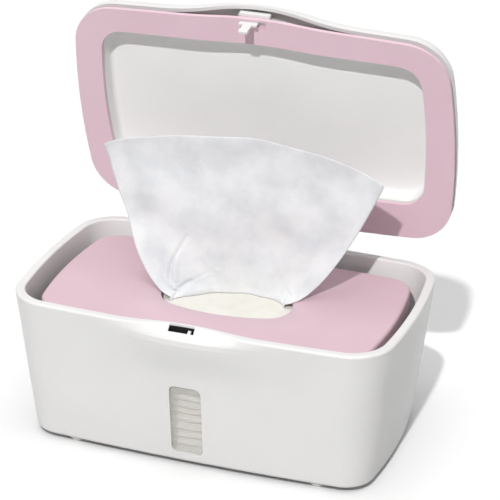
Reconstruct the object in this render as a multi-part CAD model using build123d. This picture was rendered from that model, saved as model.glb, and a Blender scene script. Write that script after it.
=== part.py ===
"""A wipes dispenser: a tapered tub with a spring lid, a latch button and a loose weighted plate on the wipes.

Millimetres. The origin is the middle of the footprint, on the surface that the feet stand on.
+X is to the right, -Y is to the front and +Z is up. The lid is built closed and then swung open.
"""
from build123d import *
from math import atan2, cos, degrees, hypot, pi, radians, sin, sqrt
import os

# Tub
RIM_WIDTH = 220.0  # over the rim, left to right
RIM_DEPTH = 129.8  # over the rim, front to back, without the front lip
RIM_HEIGHT = 87.3  # rim above the standing surface
RIM_CORNER = 24.4  # plan radius of the rim's corners
SIDE_BOW = 4.8  # how far each end wall bulges between its corners
FRONT_BOW = 3.2  # how far the front and back bulge between their corners
BASE_INSET = 8.8  # how far the base is drawn in from the rim
BASE_CORNER = 17.0  # plan radius of the base's corners
BASE_EDGE = 2.4  # rounding under the walls
FLOOR_THICKNESS = 3.0
WALL = 3.0  # wall at the floor
RIM_LAND = 4.7  # wall at the rim
RIM_ROUND_OUT = 1.3
RIM_ROUND_IN = 0.9
CAVITY_ROUND = 3.0  # rounding round the floor inside

# Soft lip in the middle of the front, and the hump of the parting line above it
LIP_OUT = 4.9  # how far the lip would stand out at its crest without its rounding
LIP_FOOT = 32.0  # the lip's lower end, below the rim
LIP_CREST = 4.6  # the crest, below the rim
LIP_HALF = 56.0  # half the lip's length
LIP_SLOPE = 1.15  # run of the sloping land per unit of height
LIP_SOFTNESS = 1.3  # rounding of the crest
LIP_STEPS = 9  # bands of the swelling below the crest
HUMP = 2.2  # rise of the rim in the middle of the front
HUMP_HALF = 43.0
FRONT_MIDDLE = -1.9  # the window's and the latch's middle, a little to the left of the tub's middle

# Feet
FOOT_RADIUS = 5.6
FOOT_HEIGHT = 2.5  # below the tub's base
FOOT_SEAT = 0.8  # depth of the foot's seat in the base
FOOT_ROUND = 0.9
FOOT_IN_X = 31.0  # from the base's end to a foot's centre
FOOT_IN_Y = 9.8  # from the base's front or back to a foot's centre

# Window
WINDOW_WIDTH = 18.2
WINDOW_HEIGHT = 43.4
WINDOW_MIDDLE = 29.5  # above the standing surface
WINDOW_CORNER = 3.4
PANE_THICKNESS = 1.5
PANE_SEAT_DEPTH = 1.3  # wall left in front of the pane
PANE_OVERLAP = 1.6  # the pane's edge behind the wall
SEAT_CLEARANCE = 0.05  # round anything that sits in a pocket

# Hinge
HINGE_BEHIND = 8.3  # the axis behind the rim
HINGE_ABOVE = 1.1  # the axis above the rim
OPEN_ANGLE = 77.0
PIN_RADIUS = 2.0
PIN_FIT = 0.02  # pin in the lugs
KNUCKLE_FIT = 0.06  # knuckles on the pin
LUG_RADIUS = 5.4
LUG_THICKNESS = 8.0
LUG_ROOT_DROP = 22.0  # the lug's lower end below the axis
LUG_ROOT_RADIUS = 3.0
ARM_HALF = 27.6  # half the width of the lid's arm
ARM_SIDE_GAP = 0.4  # between the arm and each lug
KNUCKLE_RADIUS = 5.0
KNUCKLE_LENGTH = 14.0
SPRING_WIRE = 1.2
SPRING_RADIUS = 3.3  # mean radius of the coil
SPRING_PITCH = 1.75
SPRING_TURNS = 9
SPRING_ARM_LEG = 9.0
SPRING_ROOM = 0.3  # the web stands this much clear of the knuckles' circle
LEDGE_DROP = 9.0  # top of the ledge that holds the spring's foot, below the axis
LEDGE_THICKNESS = 3.0
LEDGE_REACH = 12.0  # past the rim
LEDGE_SIDE_GAP = 1.0  # between the ledge and each lug

# Lid
CLOSED_GAP = 0.6  # between the rim and the ring
RING_THICKNESS = 2.2
LID_OVERHANG = 1.0  # how far the ring and the shell stand out past the rim
RING_LIP = 0.9  # the ring's own lip at the front
RING_BAND_SIDE = 15.0
RING_BAND_REAR = 22.3
RING_BAND_FRONT = 14.0
OPENING_CORNER = 14.0
OPENING_BOW_SIDE = 3.0  # how far the opening's ends bulge between its corners
OPENING_BOW_FRONT = 1.5  # how far its front and back bulge
NECK_HEIGHT = 3.5  # the shadow gap between ring and shell
NECK_INSET = 5.6
NECK_WALL = 1.5
SHELL_LIP = 6.0  # the shell's lip at the front
SHELL_LIP_HALF = 60.0
SHELL_WALL = 2.2
SHELL_HEIGHT = 9.9  # from the shell's edge to its top
SHELL_ROUND = 8.0  # rounding between its side and its top
DISH_DEPTH = 11.0  # from the ring's face to the dish's floor
DISH_WALL = 1.6
DISH_DRAFT = 1.0
DISH_ROUND = 2.5
SEAL_WIDTH = 1.6
SEAL_THICKNESS = 1.0
LID_FIT = 0.15  # between the lid's own layers

# Latch
HOOK_THICKNESS = 1.2
HOOK_BAR_HALF = 5.2
HOOK_STEM_HALF = 2.5
HOOK_OFF_CENTRE = -2.1  # the hook's middle from the button's middle
HOOK_BAR_DROP = 3.4  # below the ring
HOOK_DROP = 11.0
HOOK_NOSE = 0.7
HOOK_NOSE_HEIGHT = 2.0
HOOK_NOSE_ROOT = 0.1  # how far the nose runs into the stem
HOOK_BEHIND = 0.3  # the hook's middle behind the rim's front
HOOK_ROOM = 0.3
BUTTON_TRAVEL = 1.6
BUTTON_HALF = 9.0
BUTTON_HEIGHT = 2.8
BUTTON_ROUND = 1.0
BUTTON_FIT = 0.15
BUTTON_OUT = 1.7  # how far the button stands out past the ring
BUTTON_BACK = 6.2  # the button's body behind the hook
RING_SLOT_RIGHT = 7.3  # the right end of the ring's slot from the button's middle
GUIDE_WALL = 1.4
GUIDE_GAP = 0.7  # between the guide and the neck
CATCH_SLOT_WIDTH = 14.3
CATCH_SIDE = 1.6  # the catch's wall at each end of its slot
CATCH_FRONT = 1.4  # the catch's wall in front of its slot
CATCH_FLOOR = 1.3  # the catch under the hook's tip
CATCH_COVER = 1.2  # the tub's skin over the catch
CATCH_UNDERCUT = 0.6
NUB_WIDTH = 1.6  # the rib at the end of the hook's bar
NUB_LENGTH = 2.2  # from the slot's front edge
NUB_TOP = 2.2  # top of the rib, below the hump
NUB_HEIGHT = 5.0
SMALL_SPRING_WIRE = 0.4
SMALL_SPRING_RADIUS = 1.1
SMALL_SPRING_TURNS = 4

# Weighted plate
PLATE_TOP = 81.3
PLATE_INSET = 12.35  # from the rim's outline
PLATE_CORNER = 16.0
PLATE_ROUND = 2.0
COVER_HEIGHT = 6.0
COVER_SKIN = 1.6
SEAM = 0.3
BASE_PLATE_THICKNESS = 2.0
HOLE_HALF_X = 38.0
HOLE_HALF_Y = 20.0
FUNNEL_HALF_X = 66.0
FUNNEL_HALF_Y = 41.0
FUNNEL_DEPTH = 5.3  # from the plate's top to the throat of the hole
THROAT_LENGTH = 1.6
FUNNEL_STEPS = 7
FUNNEL_RUN_OUT = 0.25  # how far the funnel's slope runs on above the plate
WEIGHT_THICKNESS = 1.5
WEIGHT_CLEARANCE = 0.6
SCREW_RADIUS = 1.1
SCREW_HEAD_RADIUS = 2.3
SCREW_HEAD_HEIGHT = 1.1
BOSS_RADIUS = 2.8
SCREW_IN = 12.0  # from the plate's edges to a screw

# Wipes
PACK_END_ROOM = 8.2  # from the pack's end to the middle of the tub's end wall at the floor
PACK_SIDE_ROOM = 6.1  # from the pack's side to the middle of the tub's front wall at the floor
PACK_CORNER = 9.0
PACK_CLEARANCE = 0.3  # between soft pieces and their neighbours
TOP_WIPE_THICKNESS = 2.3
WIPE_THICKNESS = 1.5
WIPE_HEIGHT = 69.7  # the free edge's ends above the plate's top
WIPE_CROWN = 14.0  # how much higher the free edge is in its middle
WIPE_BASE_LEFT = (-29.0, -6.0)
WIPE_BASE_RIGHT = (27.0, 7.0)
WIPE_BASE_BOW = 9.0  # how far the gathered base bows back
WIPE_TOP_LEFT = (-79.0, 16.5)
WIPE_TOP_RIGHT = (79.0, 19.5)
WIPE_SPREAD = 0.6  # the fan's sides: 1 is straight, less is bowed out
WIPE_FOLDS = 8
WIPE_FOLD_BASE = 1.6
WIPE_FOLD_TOP = 1.6
WIPE_LEVELS = 6

# Places worked out from the sizes above
BASE_Z = FOOT_HEIGHT
FLOOR_Z = BASE_Z + FLOOR_THICKNESS
HALF_WIDTH = RIM_WIDTH / 2
HALF_DEPTH = RIM_DEPTH / 2
HINGE_Y = HALF_DEPTH + HINGE_BEHIND
HINGE_Z = RIM_HEIGHT + HINGE_ABOVE
HINGE_AXIS = Axis((0, HINGE_Y, HINGE_Z), (1, 0, 0))
HOOK_Y = HOOK_BEHIND - HALF_DEPTH
HOOK_X = FRONT_MIDDLE + HOOK_OFF_CENTRE
RING_Z = RIM_HEIGHT + CLOSED_GAP
RING_TOP = RING_Z + RING_THICKNESS
SHELL_Z = RING_TOP + NECK_HEIGHT
DISH_FLOOR_Z = RING_Z + DISH_DEPTH
PLATE_SEAM_Z = PLATE_TOP - COVER_HEIGHT
PLATE_BASE_TOP = PLATE_SEAM_Z - SEAM
PLATE_BOTTOM = PLATE_BASE_TOP - BASE_PLATE_THICKNESS
PACK_HALF_X = HALF_WIDTH - BASE_INSET - WALL - PACK_END_ROOM
PACK_HALF_Y = HALF_DEPTH - BASE_INSET - WALL - PACK_SIDE_ROOM
PACK_TOP = PLATE_BOTTOM - PACK_CLEARANCE
WIPE_NECK = PLATE_TOP - FUNNEL_DEPTH  # where the standing wipe starts to open
WIPE_CORNER_Z = PLATE_TOP + WIPE_HEIGHT
REACH = 400.0  # longer than any part of the object, for cutting blocks
TOUCH = 0.01
PARALLEL = 1e-6


def place(shape, x=0.0, y=0.0, z=0.0):
    """The shape, moved."""
    return shape.moved(Location((x, y, z)))


def fuse(first, *others):
    """One solid from several that touch."""
    whole = first
    for other in others:
        whole = whole + other
    return whole.solids()[0] if len(whole.solids()) == 1 else whole


def wall_inset(z):
    """How far the outer wall is drawn in from the rim at a height."""
    return BASE_INSET * (RIM_HEIGHT - z) / (RIM_HEIGHT - BASE_Z)


def wall_corner(z):
    """The outer wall's plan corner radius at a height."""
    share = (RIM_HEIGHT - z) / (RIM_HEIGHT - BASE_Z)
    return RIM_CORNER + (BASE_CORNER - RIM_CORNER) * share


def biarc(start, start_way, end, end_way):
    """Two arcs from start to end that keep the given directions at both ends."""
    p0, p1 = Vector(*start), Vector(*end)
    t0, t1 = Vector(*start_way).normalized(), Vector(*end_way).normalized()
    v, t = p1 - p0, t0 + t1
    a = 2 * (1 - t0.dot(t1))
    if a < PARALLEL:
        d = v.dot(v) / (2 * v.dot(t))
    else:
        d = (-v.dot(t) + sqrt(v.dot(t) ** 2 + a * v.dot(v))) / a
    middle = (p0 + t0 * d + p1 - t1 * d) * 0.5
    first = TangentArc(p0, middle, tangent=t0)
    second = TangentArc(middle, p1, tangent=first % 1)
    return [first, second]


def bowed_outline(inset, corner, z, lip=None, lip_half=LIP_HALF):
    """The tub's plan outline, drawn in by an inset, with an optional soft lip at the front."""
    side = HALF_WIDTH - inset
    end = HALF_DEPTH - inset
    corner_x = side - SIDE_BOW
    corner_y = end - FRONT_BOW
    if lip is None:
        front = [ThreePointArc((-corner_x, -corner_y), (0, -end), (corner_x, -corner_y))]
    else:
        front = lipped_front(corner_x, end, lip, lip_half)
    right = ThreePointArc((corner_x, -corner_y), (side, 0), (corner_x, corner_y))
    back = ThreePointArc((corner_x, corner_y), (0, end), (-corner_x, corner_y))
    left = ThreePointArc((-corner_x, corner_y), (-side, 0), (-corner_x, -corner_y))
    face = Face(Wire(front + [right, back, left]))
    corners = [v for v in face.vertices() if abs(v.X) > corner_x - TOUCH]
    return place(face.fillet_2d(corner, corners), z=z)


def lipped_front(corner_x, end, lip, lip_half):
    """The front edge as arcs: the wall's bow, and the lip that swells out of it."""
    radius = (corner_x ** 2 + FRONT_BOW ** 2) / (2 * FRONT_BOW)

    def bow(x):
        return -end + radius - sqrt(radius ** 2 - x ** 2)

    slope = lip_half / sqrt(radius ** 2 - lip_half ** 2)
    tip = (0, -end - lip)
    left = (-lip_half, bow(-lip_half))
    right = (lip_half, bow(lip_half))
    half_way = (corner_x + lip_half) / 2
    rise = biarc(left, (1, -slope), tip, (1, 0))
    fall = biarc(tip, (1, 0), right, (1, slope))
    first = ThreePointArc((-corner_x, bow(corner_x)), (-half_way, bow(half_way)), left)
    last = ThreePointArc(right, (half_way, bow(half_way)), (corner_x, bow(corner_x)))
    return [first] + rise + fall + [last]


def skin(sections, ruled=False):
    """A solid through a stack of outlines."""
    return Solid.make_loft([section.outer_wire() for section in sections], ruled)


def prism(face, height):
    """A face drawn straight up."""
    return extrude(face, amount=height, dir=(0, 0, 1))


def rounded_block(half_x, half_y, corner, z, height, x=0.0, y=0.0):
    """A block with rounded upright corners that stands on z."""
    return place(prism(RectangleRounded(2 * half_x, 2 * half_y, corner), height), x, y, z)


def block(x0, x1, y0, y1, z0, z1):
    """A plain block between two corners."""
    return place(Solid.make_box(x1 - x0, y1 - y0, z1 - z0), x0, y0, z0)


def hump_cutter(level, side):
    """Everything above a humped level for side 1, and everything below it for side -1, in two blocks."""
    y = -REACH / 2
    far = level + side * REACH
    left = (-HUMP_HALF, y, level)
    top = (0, y, level + HUMP)
    right = (HUMP_HALF, y, level)
    corners = [(REACH / 2, y, level), (REACH / 2, y, far), (-REACH / 2, y, far), (-REACH / 2, y, level)]
    along = (1, 0, 0)
    edges = biarc(left, along, top, along) + biarc(top, along, right, along)
    around = [right] + corners + [left]
    edges += [Line(start, end) for start, end in zip(around, around[1:])]
    front = extrude(Face(Wire(edges)), amount=REACH / 2 - HALF_DEPTH / 2, dir=(0, 1, 0))
    low, high = sorted((level, far))
    rear = block(-REACH / 2, REACH / 2, -HALF_DEPTH / 2, REACH / 2, low, high)
    return front, rear


def trimmed_below(shape, level):
    """What lies under the humped level."""
    front, rear = hump_cutter(level, 1)
    return shape - front - rear


def trimmed_above(shape, level):
    """What lies over the humped level."""
    front, rear = hump_cutter(level, -1)
    return shape - front - rear


def lip_at(z):
    """How far the lip stands out at a height: a soft swelling that turns over a rounded crest to the land."""
    crest = RIM_HEIGHT - LIP_CREST
    share = min(max((z - RIM_HEIGHT + LIP_FOOT) / (LIP_FOOT - LIP_CREST), 0.0), 1.0)
    swelling = LIP_OUT * share * share * (3 - 2 * share) + max(z - crest, 0.0) * LIP_SLOPE
    land = LIP_OUT - (z - crest) * LIP_SLOPE
    return (swelling + land - hypot(swelling - land, LIP_SOFTNESS)) / 2


def tub_outside():
    """The tub's outer form, up to a little above the hump."""
    crest = RIM_HEIGHT - LIP_CREST
    foot = RIM_HEIGHT - LIP_FOOT
    heights = [BASE_Z]
    heights += [foot + (crest - foot) * step / LIP_STEPS for step in range(LIP_STEPS + 1)]
    heights += [crest + LIP_SOFTNESS * step for step in (1, 2)]
    heights += [RIM_HEIGHT + HUMP + 1]
    form = skin([bowed_outline(wall_inset(z), wall_corner(z), z, lip_at(z)) for z in heights], ruled=True)
    return fillet(form.edges().group_by(Axis.Z)[0], BASE_EDGE)


def tub_cavity():
    """The space inside the tub."""
    top = RIM_HEIGHT + HUMP + 2
    low_corner = wall_corner(FLOOR_Z) - WALL
    low = bowed_outline(wall_inset(FLOOR_Z) + WALL, low_corner, FLOOR_Z)
    high = bowed_outline(RIM_LAND, RIM_CORNER - RIM_LAND, top)
    space = skin([low, high], ruled=True)
    return fillet(space.edges().group_by(Axis.Z)[0], CAVITY_ROUND)


def front_frame():
    """A plane on the front wall at the window's middle, with its normal pointing out."""
    tilt = atan2(BASE_INSET, RIM_HEIGHT - BASE_Z)
    y = -(HALF_DEPTH - wall_inset(WINDOW_MIDDLE))
    return Plane(origin=(FRONT_MIDDLE, y, WINDOW_MIDDLE), x_dir=(1, 0, 0), z_dir=(0, -cos(tilt), -sin(tilt)))


def window_block(overlap, near, far):
    """A rounded block in the front wall, between two depths behind its face."""
    face = RectangleRounded(WINDOW_WIDTH + 2 * overlap, WINDOW_HEIGHT + 2 * overlap, WINDOW_CORNER + overlap / 2)
    solid = place(extrude(face, amount=far - near, dir=(0, 0, 1)), z=-far)
    return front_frame() * solid


def window_pane():
    """The clear pane, which sits behind the wall."""
    return window_block(PANE_OVERLAP, PANE_SEAT_DEPTH, PANE_SEAT_DEPTH + PANE_THICKNESS)


def foot_places():
    """Each foot's name and centre."""
    x = HALF_WIDTH - BASE_INSET - FOOT_IN_X
    y = HALF_DEPTH - BASE_INSET - FOOT_IN_Y
    for row, side_y in (("front", -y), ("rear", y)):
        for side, side_x in (("left", -x), ("right", x)):
            yield f"foot_{row}_{side}", side_x, side_y


def foot(x, y):
    """A round foot with a soft lower edge."""
    pad = place(Solid.make_cylinder(FOOT_RADIUS, FOOT_HEIGHT + FOOT_SEAT), x, y)
    return fillet(pad.edges().group_by(Axis.Z)[0], FOOT_ROUND)


def lug(x):
    """One lug that carries the hinge pin, from its inner side at x."""
    nose = Edge.make_circle(LUG_RADIUS, Plane(origin=(x, HINGE_Y, HINGE_Z), z_dir=(1, 0, 0)))
    root_y = HALF_DEPTH - LUG_ROOT_RADIUS
    root_plane = Plane(origin=(x, root_y, HINGE_Z - LUG_ROOT_DROP), z_dir=(1, 0, 0))
    root = Edge.make_circle(LUG_ROOT_RADIUS, root_plane)
    return extrude(hull_face([nose, root], x), amount=LUG_THICKNESS, dir=(1, 0, 0))


def hull_face(circles, x):
    """The face inside a band stretched round two circles that lie in a plane of constant x."""
    (first, second) = circles
    c1, r1 = first.arc_center, first.radius
    c2, r2 = second.arc_center, second.radius
    gap = hypot(c2.Y - c1.Y, c2.Z - c1.Z)
    along = atan2(c2.Z - c1.Z, c2.Y - c1.Y)
    turn = pi / 2 - atan2(r1 - r2, sqrt(gap ** 2 - (r1 - r2) ** 2))

    def at(centre, radius, angle):
        return (x, centre.Y + radius * cos(angle), centre.Z + radius * sin(angle))

    a, b = at(c1, r1, along + turn), at(c2, r2, along + turn)
    c, d = at(c2, r2, along - turn), at(c1, r1, along - turn)
    edges = [
        Line(a, b),
        ThreePointArc(b, at(c2, r2, along), c),
        Line(c, d),
        ThreePointArc(d, at(c1, r1, along + pi), a),
    ]
    return Face(Wire(edges))


def hinge_cylinder(radius, x0, x1):
    """A cylinder on the hinge's axis."""
    plane = Plane(origin=(x0, HINGE_Y, HINGE_Z), z_dir=(1, 0, 0))
    return Solid.make_cylinder(radius, x1 - x0, plane)


def lug_from():
    """The inner side of a lug."""
    return ARM_HALF + ARM_SIDE_GAP


def hinge_pin():
    """The steel pin, pressed through both lugs."""
    half = lug_from() + LUG_THICKNESS
    pin = hinge_cylinder(PIN_RADIUS, -half, half)
    return chamfer(pin.edges().filter_by(GeomType.CIRCLE), 0.15 * PIN_RADIUS)


def spring_foot_y():
    """Where the spring's straight foot goes down, in front of the axis."""
    return HINGE_Y - SPRING_RADIUS


def spring_ledge():
    """The ledge between the lugs, with the hole that holds the spring's foot."""
    half = lug_from() - LEDGE_SIDE_GAP
    top = HINGE_Z - LEDGE_DROP
    ledge = block(-half, half, HALF_DEPTH - RIM_LAND, HALF_DEPTH + LEDGE_REACH, top - LEDGE_THICKNESS, top)
    ledge = fillet(ledge.edges().filter_by(Axis.Z).group_by(Axis.Y)[-1], LEDGE_THICKNESS)
    hole = place(Solid.make_cylinder(0.75 * SPRING_WIRE, REACH), spring_foot_x(), spring_foot_y(), top - REACH / 2)
    return ledge, hole


def catch_slot_y():
    """Front and back of the catch's slot."""
    front = HOOK_Y - HOOK_THICKNESS / 2 - HOOK_ROOM
    rear = HOOK_Y + HOOK_THICKNESS / 2 + BUTTON_TRAVEL + HOOK_ROOM
    return front, rear


def catch_slot_x():
    """Left and right ends of the catch's slot."""
    left = HOOK_X - HOOK_BAR_HALF - HOOK_ROOM
    return left, left + CATCH_SLOT_WIDTH


def hook_tip():
    """The hook's lower end, lid closed."""
    return ring_face_z() - HOOK_DROP


def catch_slot(low):
    """The slot that the hook goes down into."""
    left, right = catch_slot_x()
    front, rear = catch_slot_y()
    return block(left, right, front, rear, low, REACH / 2)


def catch_nub(clearance):
    """The rib at the end of the hook's bar, which belongs to the tub."""
    x = HOOK_X + HOOK_BAR_HALF + HOOK_ROOM
    front, _ = catch_slot_y()
    high = RIM_HEIGHT + HUMP - NUB_TOP
    y0, y1 = front - 2 * CATCH_FRONT, front + NUB_LENGTH + clearance
    return block(x - clearance, x + NUB_WIDTH + clearance, y0, y1, high - NUB_HEIGHT - clearance, high + clearance)


def catch_room(outside, clearance):
    """The room for the catch under the sloping land, open to the tub's inside."""
    left, right = catch_slot_x()
    front, _ = catch_slot_y()
    low = hook_tip() - HOOK_ROOM - CATCH_FLOOR + clearance
    side = CATCH_SIDE - clearance
    y0 = front - CATCH_FRONT + clearance
    y1 = RIM_LAND + WALL - HALF_DEPTH
    room = outside & block(left - side, right + side, y0, y1, low, REACH / 2)
    room = place(trimmed_below(room, RIM_HEIGHT), z=-CATCH_COVER - clearance)
    return room - block(-REACH, REACH, -REACH, REACH, -REACH, low)


def latch_catch(outside):
    """The dark keeper behind the front wall: a slot, undercut for the hook's nose."""
    body = catch_room(outside, SEAT_CLEARANCE) - tub_cavity()
    floor = hook_tip() - HOOK_ROOM
    body = body - catch_slot(floor) - catch_nub(SEAT_CLEARANCE)
    left, right = catch_slot_x()
    front, _ = catch_slot_y()
    nose_top = hook_tip() + HOOK_NOSE_HEIGHT + HOOK_ROOM
    return body - block(left, right, front - CATCH_UNDERCUT, front + CATCH_UNDERCUT, floor, nose_top)


def rim_edges(body, inset, corner):
    """The edges of the rim that follow a plan outline."""
    line = bowed_outline(inset, corner, 0, lip_at(RIM_HEIGHT) if inset == 0 else None).outer_wire()
    top = [edge for edge in body.edges() if edge.bounding_box().min.Z > RIM_HEIGHT - TOUCH]
    near = []
    for edge in top:
        middle = edge @ 0.5
        if line.distance_to(Vertex(middle.X, middle.Y, 0)) < RIM_LAND / 2:
            near.append(edge)
    return near


def tub_wall(outside):
    """The tub's wall and floor, with the rim rounded on both sides."""
    wall = trimmed_below(outside - tub_cavity(), RIM_HEIGHT)
    wall = fillet(rim_edges(wall, 0, RIM_CORNER), RIM_ROUND_OUT)
    return fillet(rim_edges(wall, RIM_LAND, RIM_CORNER - RIM_LAND), RIM_ROUND_IN)


def tub(outside):
    """The tub with its lugs, ledge, window hole, foot seats and the catch's pocket."""
    ledge, ledge_hole = spring_ledge()
    cavity = tub_cavity()
    body = tub_wall(outside)
    for extra in (lug(lug_from()), lug(-lug_from() - LUG_THICKNESS), ledge):
        body = body + (extra - cavity)
    half = lug_from() + LUG_THICKNESS + 1
    body = body - ledge_hole - hinge_cylinder(PIN_RADIUS + PIN_FIT, -half, half)
    body = body - window_block(0, -RIM_LAND, 4 * WALL)
    body = body - window_block(PANE_OVERLAP + SEAT_CLEARANCE, PANE_SEAT_DEPTH, 4 * WALL)
    for _, x, y in foot_places():
        body = body - place(Solid.make_cylinder(FOOT_RADIUS + SEAT_CLEARANCE, BASE_Z + FOOT_SEAT), x, y)
    nub = catch_nub(0)
    return body - (catch_room(outside, 0) - nub) - (catch_slot(hook_tip()) - nub)


def opening_face(grow, z):
    """The ring's opening, grown all round, with edges that bulge a little between its corners."""
    side = HALF_WIDTH - RING_BAND_SIDE + grow
    front = -HALF_DEPTH + RING_BAND_FRONT - grow
    back = HALF_DEPTH - RING_BAND_REAR + grow
    x = side - OPENING_BOW_SIDE
    y0, y1 = front + OPENING_BOW_FRONT, back - OPENING_BOW_FRONT
    middle = (front + back) / 2
    edges = [
        ThreePointArc((-x, y0), (0, front), (x, y0)),
        ThreePointArc((x, y0), (side, middle), (x, y1)),
        ThreePointArc((x, y1), (0, back), (-x, y1)),
        ThreePointArc((-x, y1), (-side, middle), (-x, y0)),
    ]
    face = Face(Wire(edges))
    return place(face.fillet_2d(OPENING_CORNER + grow, face.vertices()), z=z)


def between_levels(solid, low, high):
    """The part of a solid between two humped levels."""
    return trimmed_below(trimmed_above(solid, low), high)


def ring_face_z():
    """The ring's lower face in the middle of the front, with the lid closed."""
    return RING_Z + HUMP


def lid_ring():
    """The flat ring that faces the rim, with the slot for the hook."""
    tall = RING_THICKNESS + 2 * HUMP + 2
    low = RING_Z - 1
    band = prism(bowed_outline(-LID_OVERHANG, RIM_CORNER + LID_OVERHANG, low, RING_LIP), tall)
    band = band - prism(opening_face(0, low - 1), tall + 2)
    ring = between_levels(band, RING_Z, RING_TOP)
    front, rear = catch_slot_y()
    left, _ = catch_slot_x()
    return ring - block(left, FRONT_MIDDLE + RING_SLOT_RIGHT, front, rear, low, low + tall)


def lid_seal():
    """The soft seal between the ring and the dish."""
    low = RING_TOP - 1
    tall = SEAL_THICKNESS + 2 * HUMP + 3
    band = prism(opening_face(SEAL_WIDTH, low), tall) - prism(opening_face(0, low - 1), tall + 2)
    return between_levels(band, RING_TOP + LID_FIT, RING_TOP + LID_FIT + SEAL_THICKNESS)


def dish(grow, floor_z, low):
    """The lid's dish as a solid: steep sides that round into a flat floor."""
    bowl = skin([opening_face(grow, low), opening_face(grow - DISH_DRAFT, floor_z)], ruled=True)
    return fillet(bowl.edges().group_by(Axis.Z)[-1], DISH_ROUND)


def lid_liner():
    """The white liner: the dish, the neck that sets the shell off the ring, and the web between them."""
    low = RING_TOP
    web_low = SHELL_Z + HUMP + 0.6
    web_high = web_low + NECK_WALL
    outer = prism(bowed_outline(NECK_INSET, RIM_CORNER - NECK_INSET, low, RING_LIP), web_high - low)
    inset = NECK_INSET + NECK_WALL
    inner = prism(bowed_outline(inset, RIM_CORNER - inset, low - 1, RING_LIP), web_low - low + 1)
    bowl = dish(DISH_WALL, DISH_FLOOR_Z + DISH_WALL, low)
    bowl_space = dish(0, DISH_FLOOR_Z, low)
    liner = (outer - inner) + bowl - bowl_space
    liner = trimmed_above(liner, RING_TOP + LID_FIT)
    left, right = FRONT_MIDDLE - BUTTON_HALF - BUTTON_FIT, FRONT_MIDDLE + BUTTON_HALF + BUTTON_FIT
    window = block(left, right, -REACH / 2, neck_back() + 1, low, button_top() + BUTTON_FIT)
    seal_room = prism(opening_face(SEAL_WIDTH + LID_FIT, low - 1), HUMP + 3)
    seal_room = trimmed_below(seal_room, RING_TOP + 2 * LID_FIT + SEAL_THICKNESS)
    return liner - window - seal_room


def button_low():
    """The button's lower face, lid closed."""
    return RING_TOP + HUMP + BUTTON_FIT


def button_top():
    """The button's upper face, lid closed."""
    return button_low() + BUTTON_HEIGHT


def button_front():
    """The button's front face, lid closed."""
    return -HALF_DEPTH - LID_OVERHANG - RING_LIP - BUTTON_OUT


def button_back():
    """The back of the button's body, lid closed."""
    return HOOK_Y + BUTTON_BACK


def latch_button():
    """The button with its T-shaped hook, lid closed."""
    left, right = FRONT_MIDDLE - BUTTON_HALF, FRONT_MIDDLE + BUTTON_HALF
    body = block(left, right, button_front(), button_back(), button_low(), button_top())
    body = fillet(body.edges().filter_by(Axis.Z).group_by(Axis.Y)[0], BUTTON_ROUND)
    y0 = HOOK_Y - HOOK_THICKNESS / 2
    y1 = HOOK_Y + HOOK_THICKNESS / 2
    high = button_low() + BUTTON_HEIGHT / 2
    bar_low = ring_face_z() - HOOK_BAR_DROP
    bar = block(HOOK_X - HOOK_BAR_HALF, HOOK_X + HOOK_BAR_HALF, y0, y1, bar_low, high)
    stem_left = HOOK_X - HOOK_STEM_HALF
    tip = hook_tip()
    stem = block(stem_left, HOOK_X + HOOK_STEM_HALF, y0, y1, tip, high)
    root, point = y0 + HOOK_NOSE_ROOT, y0 - HOOK_NOSE
    nose_points = [(root, tip), (point, tip + 0.6 * HOOK_NOSE_HEIGHT)]
    nose_points += [(point, tip + HOOK_NOSE_HEIGHT), (root, tip + HOOK_NOSE_HEIGHT)]
    outline = Wire.make_polygon([(stem_left, y, z) for y, z in nose_points])
    nose = extrude(Face(outline), amount=2 * HOOK_STEM_HALF, dir=(1, 0, 0))
    return fuse(body, bar, stem, nose)


def neck_back():
    """The back of the neck's wall in the middle of the front, lid closed."""
    return -(HALF_DEPTH + RING_LIP - NECK_INSET - NECK_WALL)


def guide_back():
    """The front face of the guide's back wall, lid closed."""
    return -(HALF_DEPTH - RING_BAND_FRONT + DISH_WALL + GUIDE_WALL + 2 * LID_FIT)


def button_guide():
    """The bracket round the button: two cheeks and a back wall that the spring bears on."""
    low, high = button_low(), button_top()
    inner = BUTTON_HALF + BUTTON_FIT
    outer = inner + GUIDE_WALL
    front = neck_back() + GUIDE_GAP
    back = guide_back() + GUIDE_WALL
    bracket = block(-outer, outer, front, back, low, high)
    bracket = bracket - block(-inner, inner, front - 1, guide_back(), low - 1, high + 1)
    return place(bracket, FRONT_MIDDLE)


def coil_edges(centre, radius, pitch, half_turns, start_angle, way):
    """A helix along X as arcs, two for each half turn. way is 1 or -1, the sense of the turn."""
    climb = pitch / (2 * pi)

    def point(k):
        angle = start_angle + way * pi * k
        x, y, z = centre
        return (x + climb * pi * k, y + radius * cos(angle), z + radius * sin(angle))

    def heading(k):
        angle = start_angle + way * pi * k
        return (climb, -way * radius * sin(angle), way * radius * cos(angle))

    edges = []
    for k in range(half_turns):
        edges += biarc(point(k), heading(k), point(k + 1), heading(k + 1))
    return edges, (point(0), heading(0)), (point(half_turns), heading(half_turns))


def wire_along(edges, thickness):
    """A round wire swept along joined edges."""
    path = Wire(edges)
    start = Plane(origin=path @ 0, z_dir=path % 0)
    return sweep(start * Circle(thickness / 2), path=path)


def least_gap(edges, radius, thickness):
    """The least gap between a spring's wire and itself, from points along it more than half a turn apart."""
    points, travelled, total = [], [], 0.0
    for edge in edges:
        count = max(2, round(edge.length / (thickness / 2)))
        for step in range(count):
            points.append(edge @ (step / count))
            travelled.append(total + edge.length * step / count)
        total += edge.length
    gaps = []
    for first, start in enumerate(points):
        for second in range(first + 1, len(points)):
            if travelled[second] - travelled[first] > pi * radius:
                gaps.append((points[second] - start).length)
    return min(gaps) - thickness


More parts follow.
